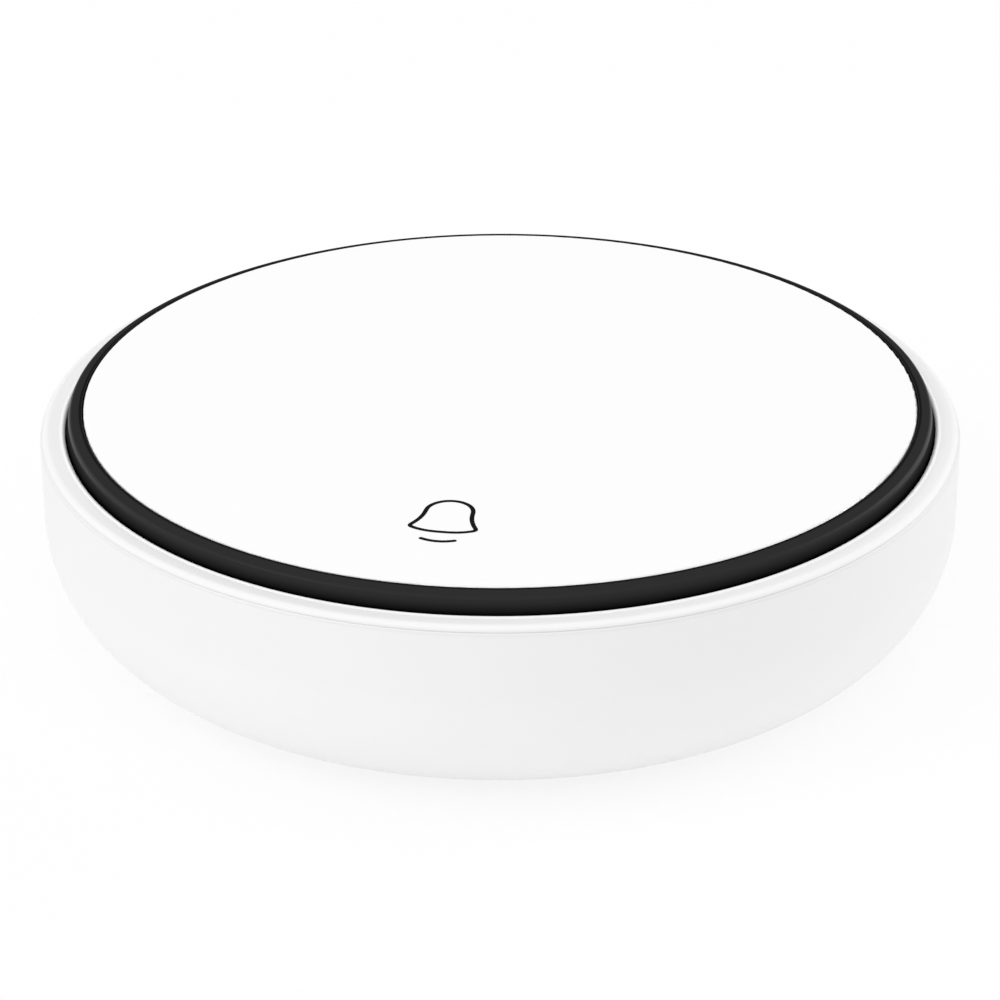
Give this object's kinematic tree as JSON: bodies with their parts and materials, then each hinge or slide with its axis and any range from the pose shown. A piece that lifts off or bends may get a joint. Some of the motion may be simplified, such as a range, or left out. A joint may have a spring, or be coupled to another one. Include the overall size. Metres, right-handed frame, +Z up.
{
  "type": "emergency call button",
  "caption": "Low round wireless call button: a wide glossy press plate in a black edge, set in a white puck case with a twist-lock battery door underneath.",
  "frame": {"origin": "on the table, under the middle of the foot pad", "axes": "+Z up along the press axis, -Y towards the printed bell on the plate"},
  "size_m": [0.06, 0.06, 0.0154],
  "materials": {
    "plate_white": "polished",
    "adhesive_film": "clear film",
    "cap_black": "satin",
    "shell_white": "fine satin",
    "spring_steel": "drawn wire",
    "gasket_silicone": "matte",
    "screw_steel": "zinc plated",
    "board_green": "solder mask",
    "switch_plastic": "moulded",
    "contact_metal": "nickel plated",
    "chip_epoxy": "moulded epoxy",
    "chip_ceramic": "fired ceramic",
    "cell_steel": "fine brushed",
    "seal_rubber": "matte",
    "pad_rubber": "matte"
  },
  "bodies": {
    "housing": {"lower_housing": "shell_white", "upper_housing": "shell_white", "housing_gasket": "gasket_silicone", "housing_screws": "screw_steel", "circuit_board": "board_green", "board_screws": "screw_steel", "switch_base": "switch_plastic", "switch_cover": "contact_metal", "switch_dome": "contact_metal", "switch_terminals": "contact_metal", "radio_chip": "chip_epoxy", "crystal_can": "contact_metal", "chip_antenna": "chip_ceramic", "chip_passives": "chip_ceramic", "negative_contact": "contact_metal", "positive_contact": "contact_metal", "coin_cell": "cell_steel", "return_springs": "spring_steel", "foot_pad": "pad_rubber"},
    "button": {"button_cap": "cap_black", "top_plate": "plate_white", "plate_adhesive": "adhesive_film"},
    "plunger": {"switch_plunger": "switch_plastic"},
    "door": {"battery_door": "shell_white", "door_seal": "seal_rubber"}
  },
  "joints": [
    {"name": "button_press", "type": "slide", "parent": "housing", "child": "button", "axis": [0, 0, -1], "range_m": [0, 0.0005], "stiffness_N_per_m": 400, "springref_m": -0.003, "deforming": ["return_springs"]},
    {"name": "switch_press", "type": "slide", "parent": "housing", "child": "plunger", "axis": [0, 0, -1], "range_m": [0, 0.0005], "deforming": ["switch_dome"]},
    {"name": "door_turn", "type": "hinge", "parent": "housing", "child": "door", "pos_m": [0, 0, 0], "axis": [0, 0, -1], "range_deg": [0, 40]}
  ],
  "couplings": [
    {"joint": "switch_press", "follows": "button_press", "ratio": 1}
  ]
}
